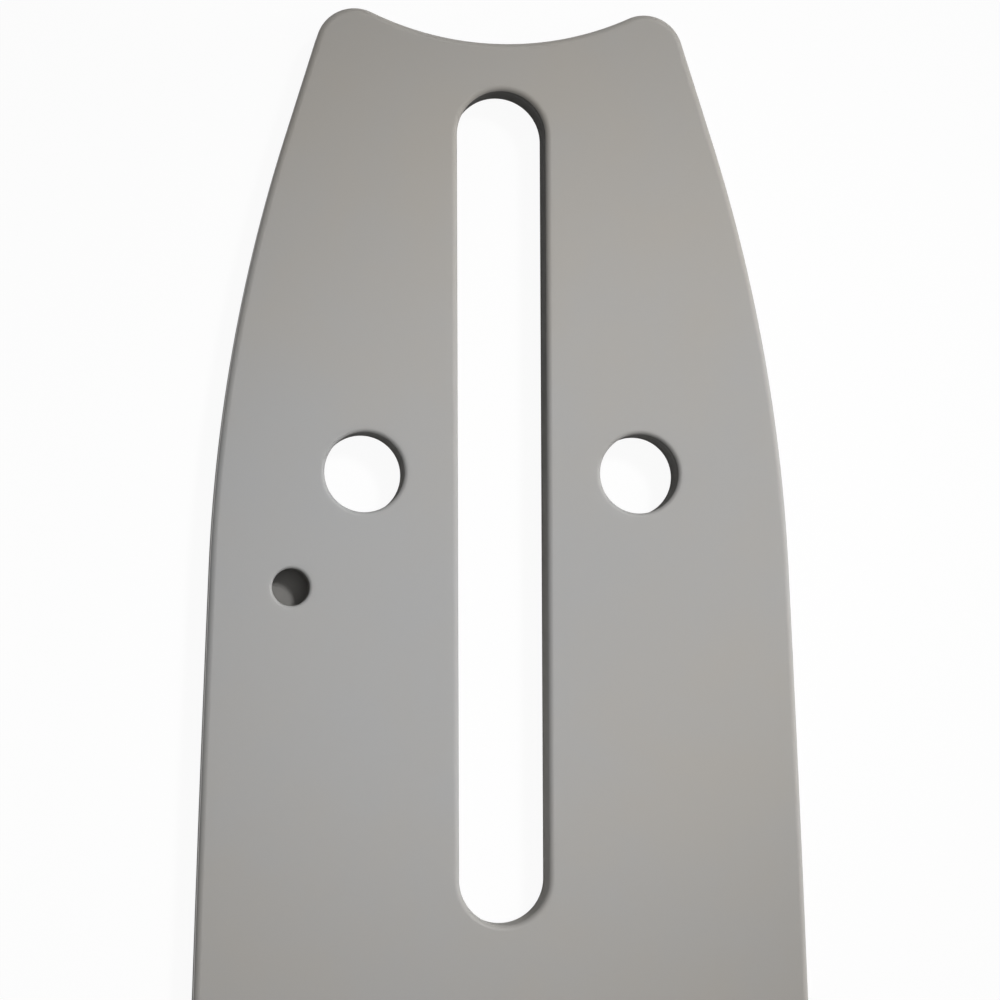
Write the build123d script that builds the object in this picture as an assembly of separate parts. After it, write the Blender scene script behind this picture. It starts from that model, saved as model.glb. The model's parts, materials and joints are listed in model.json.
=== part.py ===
from build123d import *
import math
import os

# Chainsaw guide bar: two side plates on a narrower core plate, with a chain sprocket in the nose.
# Millimetres. The origin is the middle of the stud slot on the lower face. +Y points to the tail,
# -Y to the nose, and +Z up through the thickness.

# Plates
side_thickness = 1.4
groove_width = 1.6
groove_depth = 7.0
edge_bevel = 0.45
rim_bevel = 0.4

# Tail outline
tail_wall = 4.45
notch_radius = 28.3
tail_width = 34.2
flank_angle = 17.3
flank_length = 9.1
horn_radius = 3.6
core_corner_radius = 1.5
shoulder_radius = 155.0

# Rails, from the shoulder over the belly to the nose
rail_lead_angle = 2.35
rear_rail_radius = 4200.0
nose_distance = 392.0

# Holes of the saw's mounting
slot_width = 8.2
slot_length = 76.5
adjuster_diameter = 7.3
adjuster_spacing = 25.4
adjuster_offset = 2.9
oil_hole_diameter = 3.4
oil_hole_across = 19.4
oil_hole_offset = 7.6

# Chain and nose sprocket
chain_pitch = 8.255
tooth_count = 12
rivet_line_height = 4.3
tooth_stand = 0.4
gullet_depth = 7.4
gullet_radius = 3.2
gullet_flare = 22.0
tooth_tip_bevel = 0.6
sprocket_clearance = 0.15
core_clearance = 1.0
core_tip_radius = 0.8

# Nose bearing and its rivets
race_diameter = 12.9
roller_diameter = 3.6
roller_clearance = 0.03
roller_gap = 0.05
roller_end_clearance = 0.1
rivet_diameter = 2.8
rivet_head_diameter = 4.0
rivet_circle_diameter = 7.2
rivet_count = 3

# Worked out from the sizes above
thickness = 2 * side_thickness + groove_width
groove_floor = side_thickness
groove_roof = side_thickness + groove_width
notch_distance = slot_length / 2 + tail_wall
nose_center = Vector(0, -nose_distance)
rivet_line_radius = chain_pitch / (2 * math.sin(math.pi / (2 * tooth_count)))
nose_radius = rivet_line_radius - rivet_line_height
tip_radius = nose_radius + tooth_stand
root_radius = nose_radius - gullet_depth
sprocket_thickness = groove_width - 2 * sprocket_clearance
roller_circle_radius = race_diameter / 2 + roller_clearance + roller_diameter / 2
bore_diameter = 2 * (roller_circle_radius + roller_diameter / 2 + roller_clearance)
roller_angle = 2 * math.asin((roller_diameter + roller_gap) / (2 * roller_circle_radius))
roller_count = int(2 * math.pi / roller_angle)


def direction(degrees):
    """The unit vector at an angle from +X in the plane of the plates."""
    return Vector(math.cos(math.radians(degrees)), math.sin(math.radians(degrees)))


def arc(center, start, end):
    """The shorter arc about a centre, from start to end."""
    radius = (start - center).length
    middle = center + ((start + end) / 2 - center).normalized() * radius
    return ThreePointArc(start, middle, end)


def bar_outline(inset, corner_radius):
    """The bar seen from above, with its rails moved in by inset and its tail corners rounded."""
    outward = direction(flank_angle)
    tailward = direction(flank_angle + 90)
    flank_end = Vector(tail_width / 2, notch_distance) - tailward * flank_length - outward * inset

    # Shoulder and rear rail turn the flank's direction into the bar's own at the belly
    lead = direction(rail_lead_angle)
    shoulder_center = flank_end - outward * (shoulder_radius - inset)
    shoulder_end = shoulder_center + lead * (shoulder_radius - inset)
    rear_center = shoulder_center - lead * (rear_rail_radius - shoulder_radius)
    belly = rear_center + Vector(rear_rail_radius - inset, 0)

    # The front rail leaves the belly in line with the bar and runs into the nose's round
    half_width = rear_center.X + rear_rail_radius
    run = rear_center.Y + nose_distance
    front_radius = (half_width**2 + run**2 - nose_radius**2) / (2 * (half_width - nose_radius))
    front_center = Vector(half_width - front_radius, rear_center.Y)
    to_nose = (nose_center - front_center) / (front_radius - nose_radius)
    nose_start = nose_center + to_nose * (nose_radius - inset)
    nose_end = nose_center - Vector(0, nose_radius - inset)

    # The rounded horn touches the flank and the hollow end
    notch_center = Vector(0, notch_distance + notch_radius)
    beside = flank_end - outward * corner_radius - notch_center
    reach = notch_radius + corner_radius
    back = beside.dot(tailward)
    step = -back - math.sqrt(back**2 - beside.dot(beside) + reach**2)
    corner_center = notch_center + beside + tailward * step
    corner_start = notch_center + (corner_center - notch_center).normalized() * notch_radius
    corner_end = corner_center + outward * corner_radius

    half = Curve() + [
        arc(notch_center, Vector(0, notch_distance), corner_start),
        arc(corner_center, corner_start, corner_end),
        Line(corner_end, flank_end),
        arc(shoulder_center, flank_end, shoulder_end),
        arc(rear_center, shoulder_end, belly),
        arc(front_center, belly, nose_start),
        arc(nose_center, nose_start, nose_end),
    ]
    return make_face(half + mirror(half, about=Plane.YZ))


def mounting_holes():
    """The stud slot and the two chain adjuster holes, seen from above."""
    slot = SlotOverall(slot_length, slot_width, rotation=90)
    adjusters = Circle(adjuster_diameter / 2)
    places = [Pos(side * adjuster_spacing / 2, adjuster_offset) for side in (-1, 1)]
    return slot + [place * adjusters for place in places]


def oil_hole(side):
    """One oil hole, seen from above, by the rail on that side."""
    return Pos(side * oil_hole_across, -oil_hole_offset) * Circle(oil_hole_diameter / 2)


def at_nose(height):
    """A place on the nose's axis."""
    return Pos(nose_center.X, nose_center.Y, height)


def rivet_places():
    """The rivets' centres, spaced evenly about the nose's axis and alike on both sides of it."""
    first_angle = 90 + 180 / rivet_count
    return at_nose(0) * PolarLocations(rivet_circle_diameter / 2, rivet_count, first_angle)


def rivet():
    """One flush rivet, its shank widening to a head at each face."""
    shank = rivet_diameter / 2
    head = rivet_head_diameter / 2
    neck = head - shank
    outline = Polyline(
        (0, 0),
        (head, 0),
        (shank, neck),
        (shank, thickness - neck),
        (head, thickness),
        (0, thickness),
        close=True,
    )
    return revolve(Plane.XZ * make_face(outline), Axis.Z)


def side_plate():
    """The upper side plate, with bevelled outer edges and an oil hole into the groove."""
    plate = Pos(Z=groove_roof) * extrude(bar_outline(0, horn_radius), side_thickness)
    top = plate.faces().sort_by(Axis.Z)[-1]
    plate = chamfer(top.outer_wire().edges(), edge_bevel)
    plate -= Pos(Z=groove_roof) * extrude(mounting_holes() + oil_hole(-1), side_thickness)
    top = plate.faces().sort_by(Axis.Z)[-1]
    plate = chamfer(top.inner_wires().edges(), rim_bevel)
    return plate - [place * rivet() for place in rivet_places()]


def core_plate():
    """The core between the grooves, hollowed for the sprocket and notched at the oil holes."""
    outline = bar_outline(groove_depth, core_corner_radius)
    outline -= at_nose(0) * Circle(tip_radius + core_clearance)
    outline = fillet(outline.vertices().sort_by(Axis.Y)[:2], core_tip_radius)
    outline -= mounting_holes() + oil_hole(-1) + oil_hole(1)
    return Pos(Z=groove_floor) * extrude(outline, groove_width)


def nose_sprocket():
    """The star wheel: round gullets that widen outwards between blunt teeth."""
    floor = root_radius + gullet_radius
    flare = math.radians(gullet_flare)
    side = gullet_radius * math.cos(flare)
    shoulder = floor - gullet_radius * math.sin(flare)
    mouth = tip_radius + gullet_radius
    opening = side + (mouth - shoulder) * math.tan(flare)
    wedge = Polyline((shoulder, -side), (mouth, -opening), (mouth, opening), (shoulder, side), close=True)
    gullet = make_face(wedge) + Pos(floor) * Circle(gullet_radius)
    wheel = Circle(tip_radius) - [turn * gullet for turn in PolarLocations(0, tooth_count)]
    tips = wheel.vertices().group_by(SortBy.DISTANCE)[-1]
    wheel = chamfer(tips, tooth_tip_bevel) - Circle(bore_diameter / 2)
    return at_nose(groove_floor + sprocket_clearance) * extrude(wheel, sprocket_thickness)


def bearing_race():
    """The fixed disc that the rollers run on, clamped between the side plates."""
    disc = at_nose(groove_floor) * extrude(Circle(race_diameter / 2), groove_width)
    return disc - [place * rivet() for place in rivet_places()]


def bearing_rollers():
    """A full ring of short loose rollers round the race."""
    length = groove_width - 2 * roller_end_clearance
    roller = Cylinder(roller_diameter / 2, length)
    ring = at_nose(thickness / 2) * PolarLocations(roller_circle_radius, roller_count)
    return Compound([place * roller for place in ring])


front = side_plate()
nodes = {
    "side_plate_front": front,
    "side_plate_back": front.rotate(Axis((0, 0, thickness / 2), (0, 1, 0)), 180),
    "core_plate": core_plate(),
    "nose_sprocket": nose_sprocket(),
    "bearing_race": bearing_race(),
    "bearing_rollers": bearing_rollers(),
    "nose_rivets": Compound([place * rivet() for place in rivet_places()]),
}
os.makedirs("parts", exist_ok=True)
for name, solid in nodes.items():
    export_step(solid, f"parts/{name}.step")
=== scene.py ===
import json
import math

import bmesh
import bpy
from mathutils import Matrix, Vector


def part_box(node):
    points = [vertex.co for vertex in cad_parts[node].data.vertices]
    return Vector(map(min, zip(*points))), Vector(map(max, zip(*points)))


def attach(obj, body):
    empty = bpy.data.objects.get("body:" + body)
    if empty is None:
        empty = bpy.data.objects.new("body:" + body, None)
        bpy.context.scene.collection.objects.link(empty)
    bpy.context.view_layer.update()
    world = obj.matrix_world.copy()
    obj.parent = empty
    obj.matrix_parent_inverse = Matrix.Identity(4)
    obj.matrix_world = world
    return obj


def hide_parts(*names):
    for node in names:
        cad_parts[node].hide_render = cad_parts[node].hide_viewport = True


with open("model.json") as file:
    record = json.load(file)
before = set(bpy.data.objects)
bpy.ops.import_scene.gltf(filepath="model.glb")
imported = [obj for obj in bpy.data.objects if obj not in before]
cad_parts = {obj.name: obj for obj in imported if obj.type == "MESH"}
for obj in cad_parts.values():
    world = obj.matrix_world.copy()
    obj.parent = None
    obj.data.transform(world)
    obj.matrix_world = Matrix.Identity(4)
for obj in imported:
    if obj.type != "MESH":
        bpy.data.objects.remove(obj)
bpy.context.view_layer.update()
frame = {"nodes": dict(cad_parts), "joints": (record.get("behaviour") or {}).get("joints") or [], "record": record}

# A chainsaw guide bar, lying on its lower face with its tail towards +Y and its nose towards -Y.
# Shapes are made in millimetres and become metres when a piece is finished.
MM = 0.001                  # metres in a millimetre
FINENESS = 0.002            # how far a facet may lie off its arc
CLOSE = 0.002               # points nearer than this are one point
SHARP = math.radians(40)    # an edge that bends more than this is sharp
UPRIGHT = 0.3               # a face whose normal rises less than this is a wall

# Tail outline
TAIL_WALL = 4.45
NOTCH_RADIUS = 28.3
TAIL_WIDTH = 34.2
FLANK_ANGLE = 17.3
FLANK_LENGTH = 9.1
HORN_RADIUS = 3.6
SHOULDER_RADIUS = 155.0

# Rails, and the core that ends short of them
RAIL_LEAD_ANGLE = 2.35
REAR_RAIL_RADIUS = 4200.0
GROOVE_DEPTH = 7.0
CORE_CORNER_RADIUS = 1.5
CORE_CLEARANCE = 1.0
CORE_TIP_RADIUS = 0.8

# Oil holes, and the round beside the bite that opens them into the groove
OIL_HOLE_RADIUS = 1.7
OIL_BITE_RADIUS = 0.2

# Rounds on the plates' edges, their steps, and the flat strip that is swept beside each edge
EDGE_ROUND = 0.55
SLOT_RIM_ROUND = 0.5
ADJUSTER_RIM_ROUND = 0.38
OIL_RIM_ROUND = 0.3
LIP_ROUND = 0.03
EDGE_STEPS = 6
RIM_STEPS = 6
LIP_STEPS = 3
SHELF = 0.6

# Nose sprocket
TOOTH_COUNT = 12
TOOTH_STAND = 0.4
GULLET_DEPTH = 7.4
GULLET_RADIUS = 3.2
GULLET_FLARE = 22.0
TOOTH_TIP_ROUND = 0.8
TOOTH_EDGE_ROUND = 0.12
BORE_RADIUS = 10.11

# Nose rivets
RIVET_RADIUS = 1.4
RIVET_HEAD_RADIUS = 2.0
RIVET_CIRCLE_RADIUS = 3.6
RIVET_COUNT = 3
RIVET_EDGE_ROUND = 0.08
RIVET_SEAM = 0.03

# The two colours that each finish varies between
COAT_COLORS = ((0.370, 0.345, 0.309, 1), (0.348, 0.348, 0.348, 1))
STEEL_COLORS = ((0.200, 0.195, 0.186, 1), (0.250, 0.245, 0.235, 1))
# The hole coat's painted shade, from its darkest colour to its lightest
HOLE_SHADE_COLORS = ((0.170, 0.166, 0.158, 1), (0.500, 0.489, 0.467, 1))
RAIL_COLORS = ((0.20, 0.195, 0.19, 1), (0.34, 0.335, 0.325, 1))
WHEEL_COLORS = ((0.30, 0.285, 0.26, 1), (0.36, 0.355, 0.345, 1))
BEARING_COLORS = ((0.50, 0.50, 0.495, 1), (0.58, 0.58, 0.575, 1))
RIVET_COLORS = ((0.38, 0.375, 0.36, 1), (0.48, 0.475, 0.46, 1))

# The coat's tint drifts from warm to neutral along the plates. A number picks the pattern.
TINT_WAVES = 12
TINT_PATTERN = 44.8
TINT_RANGE = (0.33, 0.68)
MOTTLE_SHARE = 0.15

# The coat in the holes has painted shade, darker towards tail and rails and lighter towards the nose, in metres.
SHADED_FROM = 0.036
UNSHADED_FROM = -0.024
SHADE_TOWARD_RAILS = 1.2
SHADE_FRINGE = 0.006

# Camera, placed by the photograph
CAMERA_PLACE = Vector((-39.46, -19.81, 297.19))
CAMERA_TARGET = Vector((-0.29, 0.40, 4.4))
CAMERA_ROLL = -0.22
CAMERA_LENS = 116.6

# Floor and background, in metres
WHITE = (1, 1, 1, 1)
FLOOR_SIZE = 3.0
FLOOR_GAP = 0.00002
FLOOR_BOUNCE = (0.2, 0.2, 0.2, 1)
FLOOR_GLOW = 0.94
WORLD_LIGHT = (0.16, 0.16, 0.16, 1)

# Where the lamps point, in metres, and the directions in which they hang from there
BAR_MIDDLE = Vector((0, -0.1, 0))
FRONT_MIDDLE = Vector((0, -0.262, 0))
TAIL_MIDDLE = Vector((0.0045, -0.006, 0.0044))
TOP_FROM = Vector((0.21, 0.11, 0.971))
FRONT_FROM = Vector((0.4, 0, 0.917))
SPOT_FROM = Vector((0.395, 0.395, 0.829))
SIDE_FROM = Vector((0.966, 0.21, 0.15))


def levels(node):
    """A node's lowest and highest level."""
    low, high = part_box(node)
    return low.z / MM, high.z / MM


def flat(point_m):
    """The place of a mount or joint, seen from above."""
    return Vector((point_m[0] / MM, point_m[1] / MM))


# Sizes and places that the frame gives
mounts = {mount["name"]: mount for mount in frame["record"]["mounts"]}
joints = {joint["name"]: joint for joint in frame["joints"]}
stud_slot = mounts["stud_slot"]["dims"]
slot_radius = stud_slot["hole_r_mm"]
slot_length = stud_slot["slot_length_mm"]
adjuster_radius = mounts["adjuster_hole_left"]["dims"]["r_mm"]
adjusters = [flat(mounts[f"adjuster_hole_{side}"]["pos_m"]) for side in ("left", "right")]
front_oil_hole = flat(mounts["front_oil_hole"]["pos_m"])
back_oil_hole = flat(mounts["back_oil_hole"]["pos_m"])
nose = flat(joints["sprocket_spin"]["pos_m"])
nose_radius = nose.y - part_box("side_plate_front")[0].y / MM
plate_low, plate_high = levels("side_plate_front")
core_low, core_high = levels("core_plate")
wheel_low, wheel_high = levels("nose_sprocket")

# Sizes that follow from these
tip_radius = nose_radius + TOOTH_STAND
notch_y = slot_length / 2 + TAIL_WALL
bar_bottom = core_low - (plate_high - plate_low)
head_sink = RIVET_HEAD_RADIUS - RIVET_RADIUS


# Paths and swept edges
RIGHT = Vector((1, 0))
NOSEWARD = Vector((0, -1))


def direction(degrees):
    """The unit vector at an angle from +X."""
    return Vector((math.cos(math.radians(degrees)), math.sin(math.radians(degrees))))


def bearing(vector):
    """A vector's angle from +X, in degrees."""
    return math.degrees(math.atan2(vector.y, vector.x))


def turn(center, radius, degrees):
    """A stretch of path round a centre, in steps fine enough for its radius."""
    angle = math.radians(degrees)
    step = 2 * math.acos(1 - FINENESS / radius)
    return {
        "cent": center.to_3d(),
        "angle": angle,
        "steps": math.ceil(abs(angle) / step),
        "use_merge": abs(degrees) == 360,
    }


def run(way):
    """A straight stretch of path."""
    return {"dvec": way.to_3d(), "angle": 0.0, "steps": 1}


def sweep(bm, section, start, inward, path):
    """Carry a section along a path. It is given as inset and height at each of its points."""
    verts = []
    for inset, height in section:
        point = (start + inward * inset).to_3d()
        point.z = height
        verts.append(bm.verts.new(point))
    row = verts + [bm.edges.new(pair) for pair in zip(verts, verts[1:])]
    for stretch in path:
        row = bmesh.ops.spin(bm, geom=row, axis=(0, 0, 1), **stretch)["geom_last"]
    bmesh.ops.remove_doubles(bm, verts=bm.verts, dist=CLOSE)


def mirror_across(bm):
    """Add the other half of a shape that is alike on both sides of the bar's length."""
    half = bm.verts[:] + bm.edges[:] + bm.faces[:]
    bmesh.ops.mirror(bm, geom=half, matrix=Matrix.Identity(4), merge_dist=CLOSE, axis="X")
    bmesh.ops.recalc_face_normals(bm, faces=bm.faces)


def wall_section(low, high):
    """A plain wall with a flat strip at its foot and its top."""
    return [(SHELF, high), (0, high), (0, low), (SHELF, low)]


def lies_at(part, height):
    """Whether an edge or a face lies level at a height."""
    return all(abs(vert.co.z - height) < CLOSE for vert in part.verts)


def round_rims(bm, height, radius, steps):
    """Round the sharp rims at a height."""
    level = [edge for edge in bm.edges if lies_at(edge, height) and len(edge.link_faces) == 2]
    sharp = [edge for edge in level if edge.calc_face_angle() > SHARP]
    bmesh.ops.bevel(
        bm, geom=sharp, offset=radius, offset_type="OFFSET", affect="EDGES",
        segments=steps, profile=0.5, material=-1,
    )


def fill_flat(bm, height):
    """Close the flat face at a height between the edges that lie open there."""
    open_edges = [edge for edge in bm.edges if edge.is_boundary and lies_at(edge, height)]
    bmesh.ops.triangle_fill(bm, edges=open_edges, use_beauty=True)


def make_piece(bm, name, finishes, body, node):
    """Turn a finished shape into a piece that stands for a CAD node and moves with its body."""
    bmesh.ops.recalc_face_normals(bm, faces=bm.faces)
    bmesh.ops.scale(bm, vec=(MM, MM, MM), verts=bm.verts)
    mesh = bpy.data.meshes.new(name)
    bm.to_mesh(mesh)
    bm.free()
    mesh.shade_smooth()
    mesh.set_sharp_from_angle(angle=SHARP)
    for material in finishes:
        mesh.materials.append(material)
    piece = bpy.data.objects.new(name, mesh)
    bpy.context.scene.collection.objects.link(piece)
    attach(piece, body)
    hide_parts(node)


# Outlines
outward = direction(FLANK_ANGLE)
tailward = direction(FLANK_ANGLE + 90)
flank_end = Vector((TAIL_WIDTH / 2, notch_y)) - tailward * FLANK_LENGTH
notch_foot = Vector((0, notch_y))
notch_center = Vector((0, notch_y + NOTCH_RADIUS))
shoulder_center = flank_end - outward * SHOULDER_RADIUS
rear_center = shoulder_center - direction(RAIL_LEAD_ANGLE) * (REAR_RAIL_RADIUS - SHOULDER_RADIUS)
half_width = rear_center.x + REAR_RAIL_RADIUS
belly_to_nose = rear_center.y - nose.y
taper = half_width - nose_radius
front_radius = (half_width**2 + belly_to_nose**2 - nose_radius**2) / (2 * taper)
front_center = Vector((half_width - front_radius, rear_center.y))


def half_tail(inset, corner_radius):
    """Half of the hollow end, a rounded horn, the flank and the shoulder."""
    beside = flank_end - outward * (inset + corner_radius) - notch_center
    back = beside.dot(tailward)
    reach = NOTCH_RADIUS + corner_radius
    horn_rise = -back - math.sqrt(back**2 - beside.length_squared + reach**2)
    horn_center = notch_center + beside + tailward * horn_rise
    horn_bearing = bearing(horn_center - notch_center)
    return [
        turn(notch_center, NOTCH_RADIUS, horn_bearing + 90),
        turn(horn_center, corner_radius, FLANK_ANGLE - horn_bearing - 180),
        run(tailward * -horn_rise),
        turn(shoulder_center, SHOULDER_RADIUS, RAIL_LEAD_ANGLE - FLANK_ANGLE),
    ]


def plate_path():
    """Half of a side plate's outline, from the middle of its hollow end to the tip of its nose."""
    lean = bearing(nose - front_center)
    return half_tail(0, HORN_RADIUS) + [
        turn(rear_center, REAR_RAIL_RADIUS, -RAIL_LEAD_ANGLE),
        turn(front_center, front_radius, lean),
        turn(nose, nose_radius, -90 - lean),
    ]


def corner_center(rail_center, rail_radius, hollow_center, hollow_radius, radius, side):
    """The centre of a rounded corner between the core's edge and a hollow cut into it."""
    along_rail = rail_radius - GROOVE_DEPTH - radius
    along_hollow = hollow_radius + radius
    between = hollow_center - rail_center
    distance = between.length
    along = (distance**2 + along_rail**2 - along_hollow**2) / (2 * distance)
    across = math.sqrt(along_rail**2 - along**2) * side
    forward = between / distance
    return rail_center + forward * along + Vector((-forward.y, forward.x)) * across


def core_path():
    """Half of the core's outline, bitten at the oil hole and hollowed round the sprocket."""
    oil = back_oil_hole
    first, second = [
        corner_center(rear_center, REAR_RAIL_RADIUS, oil, OIL_HOLE_RADIUS, OIL_BITE_RADIUS, side)
        for side in (1, -1)
    ]
    first_lean = bearing(first - rear_center)
    second_lean = bearing(second - rear_center)
    hollow = tip_radius + CORE_CLEARANCE
    tip = corner_center(front_center, front_radius, nose, hollow, CORE_TIP_RADIUS, 1)
    tip_lean = bearing(tip - front_center)
    tip_bearing = bearing(tip - nose)
    return half_tail(GROOVE_DEPTH, CORE_CORNER_RADIUS) + [
        turn(rear_center, REAR_RAIL_RADIUS, first_lean - RAIL_LEAD_ANGLE),
        turn(first, OIL_BITE_RADIUS, bearing(oil - first) - first_lean),
        turn(oil, OIL_HOLE_RADIUS, bearing(second - oil) + 360 - bearing(first - oil)),
        turn(second, OIL_BITE_RADIUS, second_lean - bearing(oil - second)),
        turn(rear_center, REAR_RAIL_RADIUS, -second_lean),
        turn(front_center, front_radius, tip_lean),
        turn(tip, CORE_TIP_RADIUS, tip_bearing - 180 - tip_lean),
        turn(nose, hollow, 90 - tip_bearing),
    ]


# Holes
def cut_round(bm, center, radius, section):
    """Sweep a section once round a hole."""
    sweep(bm, section, center + RIGHT * radius, RIGHT, [turn(center, radius, 360)])


def cut_slot(bm, section):
    """Sweep a section round the stud slot."""
    end = Vector((0, slot_length / 2 - slot_radius))
    path = [
        run(end * 2),
        turn(end, slot_radius, 180),
        run(end * -2),
        turn(-end, slot_radius, 180),
    ]
    sweep(bm, section, RIGHT * slot_radius - end, RIGHT, path)


def cut_adjusters(bm, section):
    """Sweep a section round each of the two chain adjuster holes."""
    for center in adjusters:
        cut_round(bm, center, adjuster_radius, section)


def rivet_centers():
    """The rivets' places, spaced evenly about the nose's axis and alike on both sides of it."""
    spacing = 360 / RIVET_COUNT
    angles = [90 + spacing / 2 + spacing * i for i in range(RIVET_COUNT)]
    return [nose + direction(angle) * RIVET_CIRCLE_RADIUS for angle in angles]


# Pieces
COATED, BARE, GROUND, IN_HOLE = range(4)    # the finishes of a side plate, in their order
CORE_EDGE = 1                               # the finish of the core's edge, its second one


def is_wall(face):
    """Whether a face stands upright."""
    return abs(face.normal.z) < UPRIGHT


def side_plate(name, finishes, node, turned_over):
    """A side plate with rounded edges. The back one is the front one turned over."""
    bm = bmesh.new()
    wall = wall_section(plate_low, plate_high)
    sweep(bm, wall, notch_foot, NOSEWARD, plate_path())
    mirror_across(bm)
    for face in bm.faces:
        face.material_index = GROUND
    round_rims(bm, plate_high, EDGE_ROUND, EDGE_STEPS)
    cut_slot(bm, wall)
    round_rims(bm, plate_high, SLOT_RIM_ROUND, RIM_STEPS)
    cut_adjusters(bm, wall)
    round_rims(bm, plate_high, ADJUSTER_RIM_ROUND, RIM_STEPS)
    cut_round(bm, front_oil_hole, OIL_HOLE_RADIUS, wall)
    round_rims(bm, plate_high, OIL_RIM_ROUND, RIM_STEPS)
    seat = [
        (SHELF, plate_high),
        (RIVET_SEAM, plate_high),
        (-head_sink, plate_high - head_sink),
        (-head_sink, plate_low),
        (SHELF, plate_low),
    ]
    for center in rivet_centers():
        cut_round(bm, center, RIVET_HEAD_RADIUS, seat)
    round_rims(bm, plate_low, LIP_ROUND, LIP_STEPS)
    fill_flat(bm, plate_low)
    fill_flat(bm, plate_high)
    bmesh.ops.recalc_face_normals(bm, faces=bm.faces)
    for face in bm.faces:
        if lies_at(face, plate_low):
            face.material_index = BARE
        elif not is_wall(face):
            face.material_index = COATED
        elif face.material_index != GROUND:
            face.material_index = IN_HOLE
    if turned_over:
        middle = Vector((0, 0, (core_low + core_high) / 2))
        half_turn = Matrix.Rotation(math.pi, 3, "Y")
        bmesh.ops.rotate(bm, verts=bm.verts, cent=middle, matrix=half_turn)
    make_piece(bm, name, finishes, "bar", node)


def core(finishes):
    """The narrower plate between the side plates, bitten open at the oil holes."""
    bm = bmesh.new()
    wall = [(0, core_high), (0, core_low)]
    sweep(bm, wall, notch_foot, NOSEWARD, core_path())
    mirror_across(bm)
    for face in bm.faces:
        face.material_index = CORE_EDGE
    cut_slot(bm, wall)
    cut_adjusters(bm, wall)
    fill_flat(bm, core_low)
    fill_flat(bm, core_high)
    make_piece(bm, "core", finishes, "bar", "core_plate")


def tooth_path():
    """One pitch of the sprocket's edge, from the foot of a gullet to the foot of the next."""
    pitch = 360 / TOOTH_COUNT
    turned = Matrix.Rotation(math.radians(pitch), 2)
    along = direction(GULLET_FLARE)
    across = direction(GULLET_FLARE + 90)
    gullet = Vector((nose_radius - GULLET_DEPTH + GULLET_RADIUS, 0))
    foot = gullet + across * (GULLET_RADIUS + TOOTH_TIP_ROUND)
    back = foot.dot(along)
    flank = -back + math.sqrt(back**2 - foot.length_squared + (tip_radius - TOOTH_TIP_ROUND)**2)
    corner = foot + along * flank
    lean = bearing(corner)
    far_corner = direction(pitch - lean) * corner.length
    bend = lean + 90 - GULLET_FLARE
    return [
        turn(nose + gullet, GULLET_RADIUS, GULLET_FLARE - 90),
        run(along * flank),
        turn(nose + corner, TOOTH_TIP_ROUND, bend),
        turn(nose, tip_radius, pitch - 2 * lean),
        turn(nose + far_corner, TOOTH_TIP_ROUND, bend),
        run(direction(pitch - GULLET_FLARE) * -flank),
        turn(nose + turned @ gullet, GULLET_RADIUS, GULLET_FLARE - 90),
    ]


def sprocket(steel):
    """The star wheel in the nose, with softened edges."""
    bm = bmesh.new()
    wall = wall_section(wheel_low, wheel_high)
    foot = nose + RIGHT * (nose_radius - GULLET_DEPTH)
    sweep(bm, wall, foot, -RIGHT, tooth_path())
    tooth = bm.verts[:] + bm.edges[:] + bm.faces[:]
    copies = TOOTH_COUNT - 1
    bmesh.ops.spin(
        bm, geom=tooth, cent=nose.to_3d(), axis=(0, 0, 1), use_duplicate=True,
        steps=copies, angle=math.tau * copies / TOOTH_COUNT,
    )
    bmesh.ops.remove_doubles(bm, verts=bm.verts, dist=CLOSE)
    cut_round(bm, nose, BORE_RADIUS, wall)
    for height in (wheel_low, wheel_high):
        round_rims(bm, height, TOOTH_EDGE_ROUND, LIP_STEPS)
        fill_flat(bm, height)
    make_piece(bm, "sprocket", [steel], "sprocket", "nose_sprocket")


def rivets(steel):
    """The flush rivets, each a shank that widens to a head at both faces."""
    bm = bmesh.new()
    section = [
        (0, plate_high),
        (RIVET_HEAD_RADIUS - RIVET_EDGE_ROUND, plate_high),
        (RIVET_HEAD_RADIUS, plate_high - RIVET_EDGE_ROUND),
        (RIVET_RADIUS, plate_high - head_sink - RIVET_EDGE_ROUND),
        (RIVET_RADIUS, bar_bottom + head_sink + RIVET_EDGE_ROUND),
        (RIVET_HEAD_RADIUS, bar_bottom + RIVET_EDGE_ROUND),
        (RIVET_HEAD_RADIUS - RIVET_EDGE_ROUND, bar_bottom),
        (0, bar_bottom),
    ]
    for center in rivet_centers():
        sweep(bm, section, center, RIGHT, [turn(center, RIVET_HEAD_RADIUS, 360)])
    make_piece(bm, "rivets", [steel], "bar", "nose_rivets")


# Finishes
class Value:
    """A socket in a material's nodes. Arithmetic on it adds Math nodes."""

    def __init__(self, tree, socket):
        self.tree = tree
        self.socket = socket

    def node(self, kind, settings, inputs, output=0):
        """Add a node: its settings first, then the values or links of its sockets."""
        made = self.tree.nodes.new(kind)
        for name, setting in settings.items():
            setattr(made, name, setting)
        for name, value in inputs.items():
            if isinstance(value, Value):
                self.tree.links.new(value.socket, made.inputs[name])
            else:
                made.inputs[name].default_value = value
        return Value(self.tree, made.outputs[output])

    def math(self, operation, *values):
        """Add a Math node for an operation on values."""
        return self.node("ShaderNodeMath", {"operation": operation}, dict(enumerate(values)))

    def __add__(self, other):
        return self.math("ADD", self, other)

    def __sub__(self, other):
        return self.math("SUBTRACT", self, other)

    def __rsub__(self, other):
        return self.math("SUBTRACT", other, self)

    def __mul__(self, other):
        return self.math("MULTIPLY", self, other)

    __radd__ = __add__
    __rmul__ = __mul__


def noise(place, waves, detail=2.0):
    """Noise with a number of waves per metre."""
    inputs = {"Vector": place, "Scale": waves, "Detail": detail}
    return place.node("ShaderNodeTexNoise", {}, inputs)


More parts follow.
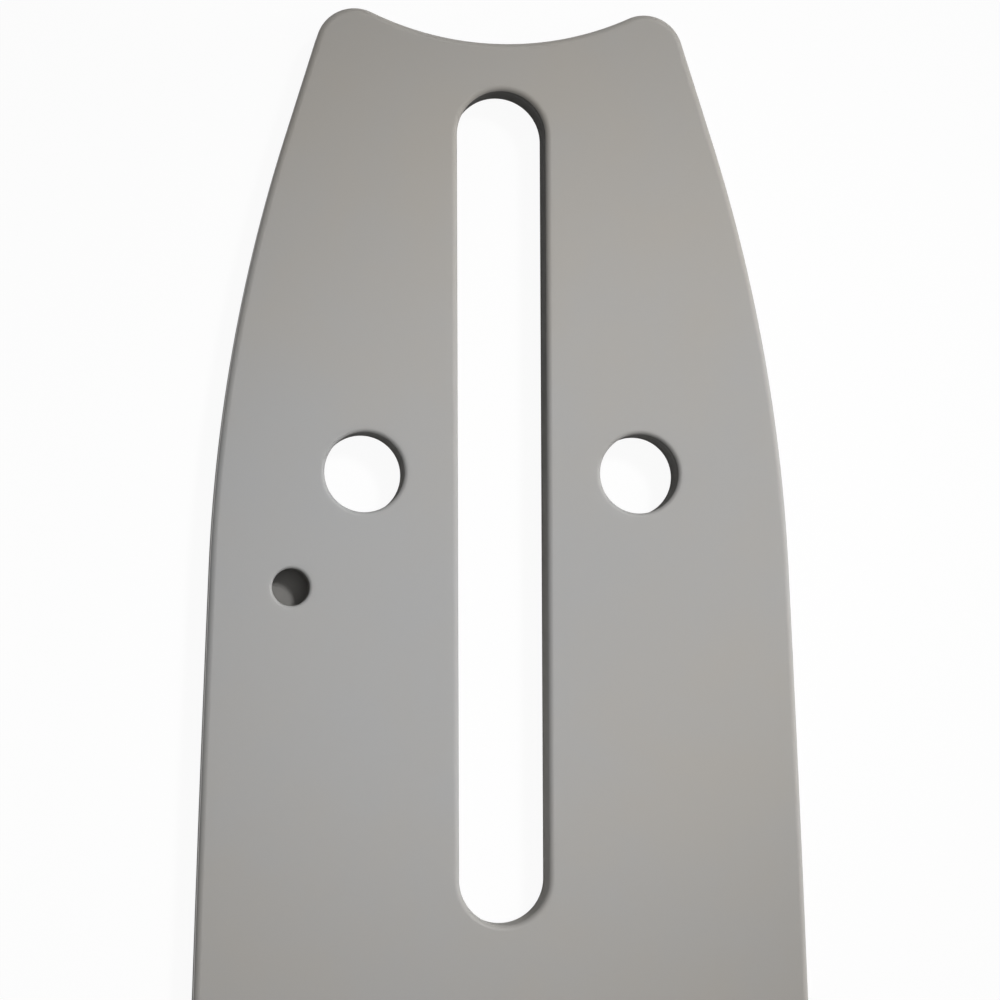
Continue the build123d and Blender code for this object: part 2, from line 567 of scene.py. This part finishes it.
def drift(place, waves, pattern):
    """Slow noise with a number of waves per metre, in the pattern that another number picks."""
    inputs = {"Vector": place, "W": pattern, "Scale": waves, "Detail": 3.0}
    return place.node("ShaderNodeTexNoise", {"noise_dimensions": "4D"}, inputs)


def streaky(place, waves, detail=2.0):
    """Noise with a number of waves per metre of its own along each axis."""
    stretched = place.node("ShaderNodeMapping", {}, {"Vector": place, "Scale": waves})
    return noise(stretched, 1.0, detail)


def coordinate(place, axis):
    """A place's distance from the origin along an axis."""
    return place.node("ShaderNodeSeparateXYZ", {}, {"Vector": place}, axis)


def step_up(value, start, end):
    """0 at start and 1 at end, with a smooth rise between and no change beyond."""
    settings = {"interpolation_type": "SMOOTHSTEP"}
    inputs = {"Value": value, "From Min": start, "From Max": end}
    return value.node("ShaderNodeMapRange", settings, inputs)


def mix_colors(factor, first, second):
    """The first colour where the factor is 0, the second where it is 1."""
    return factor.node("ShaderNodeMix", {"data_type": "RGBA"}, {0: factor, 6: first, 7: second}, 2)


def bump(height, depth_mm):
    """A relief of a depth given in millimetres."""
    return height.node("ShaderNodeBump", {}, {"Height": height, "Distance": depth_mm * MM})


def finish(name, look):
    """A material whose look gives the shader's sockets, in the piece's own coordinates."""
    material = bpy.data.materials.new(name)
    material.use_nodes = True
    tree = material.node_tree
    tree.nodes.clear()
    place = Value(tree, tree.nodes.new("ShaderNodeTexCoord").outputs["Object"])
    shader = place.node("ShaderNodeBsdfPrincipled", {}, look(place))
    output = tree.nodes.new("ShaderNodeOutputMaterial")
    tree.links.new(shader.socket, output.inputs["Surface"])
    return material


def coated_plate(place):
    """Satin grey coat, warm in some places and neutral in others."""
    cloud = drift(place, TINT_WAVES, TINT_PATTERN)
    mottle = noise(place, waves=160, detail=3.0)
    grain = noise(place, waves=2600)
    tone = cloud * (1 - MOTTLE_SHARE) + mottle * MOTTLE_SHARE
    return {
        "Base Color": mix_colors(step_up(tone, *TINT_RANGE), *COAT_COLORS),
        "Roughness": 0.50 + grain * 0.08,
        "Normal": bump(grain, depth_mm=0.004),
    }


def oil_film(place):
    """How thick the oil lies."""
    return noise(place, waves=300, detail=3.0)


def oiled(place, film, color):
    """The sockets of a dull surface under a film of oil."""
    return {
        "Base Color": color,
        "Roughness": 0.62 + film * 0.2,
        "Specular IOR Level": 0.05,
        "Normal": bump(noise(place, waves=2400), depth_mm=0.008),
    }


def bare_steel(place):
    """Dull rolled steel, darkened by oil."""
    film = oil_film(place)
    return oiled(place, film, mix_colors(film, *STEEL_COLORS))


def hole_wall(place):
    """A thin coat in the holes, with painted shade that darkens it towards the tail and the rails."""
    film = oil_film(place)
    # Painted shade: darker towards the tail and the rails, its edge made ragged by the oil film's noise
    across = coordinate(place, "X")
    rail_shade = across.math("ABSOLUTE", across) * SHADE_TOWARD_RAILS
    reach = coordinate(place, "Y") + rail_shade + (film - 0.5) * SHADE_FRINGE
    unshaded = step_up(reach, SHADED_FROM, UNSHADED_FROM)
    return oiled(place, film, mix_colors(unshaded, *HOLE_SHADE_COLORS))


def ground_rail(place):
    """Steel ground along the rails, where the chain runs."""
    streaks = streaky(place, waves=(60, 60, 9000))
    return {
        "Base Color": mix_colors(streaks, *RAIL_COLORS),
        "Metallic": 0.9,
        "Roughness": 0.34 + streaks * 0.16,
        "Normal": bump(streaks, depth_mm=0.006),
    }


def hardened_wheel(place):
    """Stamped steel with a faint brown heat tint."""
    tint = noise(place, waves=90, detail=3.0)
    scratches = streaky(place, waves=(900, 900, 6000), detail=3.0)
    return {
        "Base Color": mix_colors(tint, *WHEEL_COLORS),
        "Metallic": 1.0,
        "Roughness": 0.30 + scratches * 0.2,
        "Normal": bump(scratches, depth_mm=0.006),
    }


def ground_bearing(place):
    """Bright ground steel with fine marks."""
    marks = streaky(place, waves=(4000, 4000, 500))
    return {
        "Base Color": mix_colors(marks, *BEARING_COLORS),
        "Metallic": 1.0,
        "Roughness": 0.16 + marks * 0.12,
        "Normal": bump(marks, depth_mm=0.002),
    }


def ground_rivet(place):
    """Steel ground flush with the plates, in fine lines across the bar."""
    lines = streaky(place, waves=(150, 6000, 400))
    return {
        "Base Color": mix_colors(lines, *RIVET_COLORS),
        "Metallic": 0.45,
        "Roughness": 0.55 + lines * 0.15,
        "Normal": bump(lines, depth_mm=0.006),
    }


bare_finish = finish("bare_steel", bare_steel)
hole_finish = finish("hole_wall", hole_wall)
coat_finish = finish("plate_coat", coated_plate)
rail_finish = finish("rail_steel", ground_rail)
plate_finishes = [coat_finish, bare_finish, rail_finish, hole_finish]
side_plate("front_plate", plate_finishes, "side_plate_front", False)
side_plate("back_plate", plate_finishes, "side_plate_back", True)
core([hole_finish, bare_finish])
sprocket(finish("sprocket_steel", hardened_wheel))
rivets(finish("rivet_steel", ground_rivet))
bearing_finish = finish("bearing_steel", ground_bearing)
for node in ("bearing_race", "bearing_rollers"):
    frame["nodes"][node].data.materials.clear()
    frame["nodes"][node].data.materials.append(bearing_finish)


# Studio
def seen_directly(tree):
    """1 for what is seen, also in a reflection or through glass, and 0 for light on the piece."""
    path = tree.nodes.new("ShaderNodeLightPath")
    kinds = ("Camera", "Glossy", "Transmission")
    seen, mirrored, through = [Value(tree, path.outputs[f"Is {kind} Ray"]) for kind in kinds]
    return seen.math("MAXIMUM", seen, seen.math("MAXIMUM", mirrored, through))


def studio_floor():
    """A wide pale floor under the bar."""
    bm = bmesh.new()
    bmesh.ops.create_grid(bm, x_segments=1, y_segments=1, size=FLOOR_SIZE)
    bmesh.ops.translate(bm, vec=(0, 0, -FLOOR_GAP), verts=bm.verts)
    mesh = bpy.data.meshes.new("floor")
    bm.to_mesh(mesh)
    bm.free()
    material = bpy.data.materials.new("floor")
    material.use_nodes = True
    tree = material.node_tree
    tree.nodes.clear()
    seen = seen_directly(tree)
    color = mix_colors(seen, FLOOR_BOUNCE, WHITE)
    matte = seen.node("ShaderNodeBsdfDiffuse", {}, {"Color": color})
    glow = seen.node("ShaderNodeEmission", {}, {"Color": WHITE, "Strength": 1.0})
    surface = seen.node("ShaderNodeMixShader", {}, {0: seen * FLOOR_GLOW, 1: matte, 2: glow})
    output = tree.nodes.new("ShaderNodeOutputMaterial")
    tree.links.new(surface.socket, output.inputs["Surface"])
    mesh.materials.append(material)
    floor = bpy.data.objects.new("floor", mesh)
    bpy.context.scene.collection.objects.link(floor)


def studio_world():
    """White where it is seen, and a dim soft light on the piece."""
    world = bpy.data.worlds.new("studio")
    world.use_nodes = True
    bpy.context.scene.world = world
    tree = world.node_tree
    tree.nodes.clear()
    seen = seen_directly(tree)
    color = mix_colors(seen, WORLD_LIGHT, WHITE)
    background = seen.node("ShaderNodeBackground", {}, {"Color": color, "Strength": 1.0})
    output = tree.nodes.new("ShaderNodeOutputWorld")
    tree.links.new(background.socket, output.inputs["Surface"])


def hang(light, target, way, distance):
    """Hang a lamp at a distance from what it lights, and face it there."""
    holder = bpy.data.objects.new(light.name, light)
    holder.location = target + way * distance
    holder.rotation_euler = (-way).to_track_quat("-Z", "Y").to_euler()
    bpy.context.scene.collection.objects.link(holder)


def softbox(name, target, way, distance, size, spread, watts):
    """A soft lamp of a length and a height, whose light spreads over an angle."""
    light = bpy.data.lights.new(name, "AREA")
    light.shape = "RECTANGLE"
    light.size, light.size_y = size
    light.spread = math.radians(spread)
    light.energy = watts
    hang(light, target, way, distance)


def spot(name, target, way, distance, radius, cone, watts):
    """A small soft lamp whose light fades from the middle of its cone."""
    light = bpy.data.lights.new(name, "SPOT")
    light.shadow_soft_size = radius
    light.spot_size = math.radians(cone)
    light.spot_blend = 1.0
    light.energy = watts
    hang(light, target, way, distance)


def camera():
    """The photograph's view, looking down on the tail."""
    forward = (CAMERA_TARGET - CAMERA_PLACE).normalized()
    right = forward.cross(Vector((0, 1, 0))).normalized()
    up = right.cross(forward)
    facing = Matrix((right, up, -forward)).transposed()
    facing = facing @ Matrix.Rotation(math.radians(CAMERA_ROLL), 3, "Z")
    data = bpy.data.cameras.new("camera")
    data.lens = CAMERA_LENS
    holder = bpy.data.objects.new("camera", data)
    holder.matrix_world = Matrix.Translation(CAMERA_PLACE * MM) @ facing.to_4x4()
    bpy.context.scene.collection.objects.link(holder)
    bpy.context.scene.camera = holder


studio_floor()
studio_world()
softbox(
    "softbox", target=BAR_MIDDLE, way=TOP_FROM, distance=1.1,
    size=(1.0, 1.0), spread=180, watts=2.83,
)
softbox(
    "front_softbox", target=FRONT_MIDDLE, way=FRONT_FROM, distance=0.5,
    size=(0.37, 0.1), spread=10, watts=0.052,
)
spot(
    "tail_spot", target=TAIL_MIDDLE, way=SPOT_FROM, distance=0.45,
    radius=0.055, cone=12.0, watts=13.5,
)
softbox(
    "side_softbox", target=BAR_MIDDLE, way=SIDE_FROM, distance=0.9,
    size=(0.3, 0.3), spread=180, watts=3.65,
)
camera()
bpy.context.scene.view_settings.view_transform = "Standard"
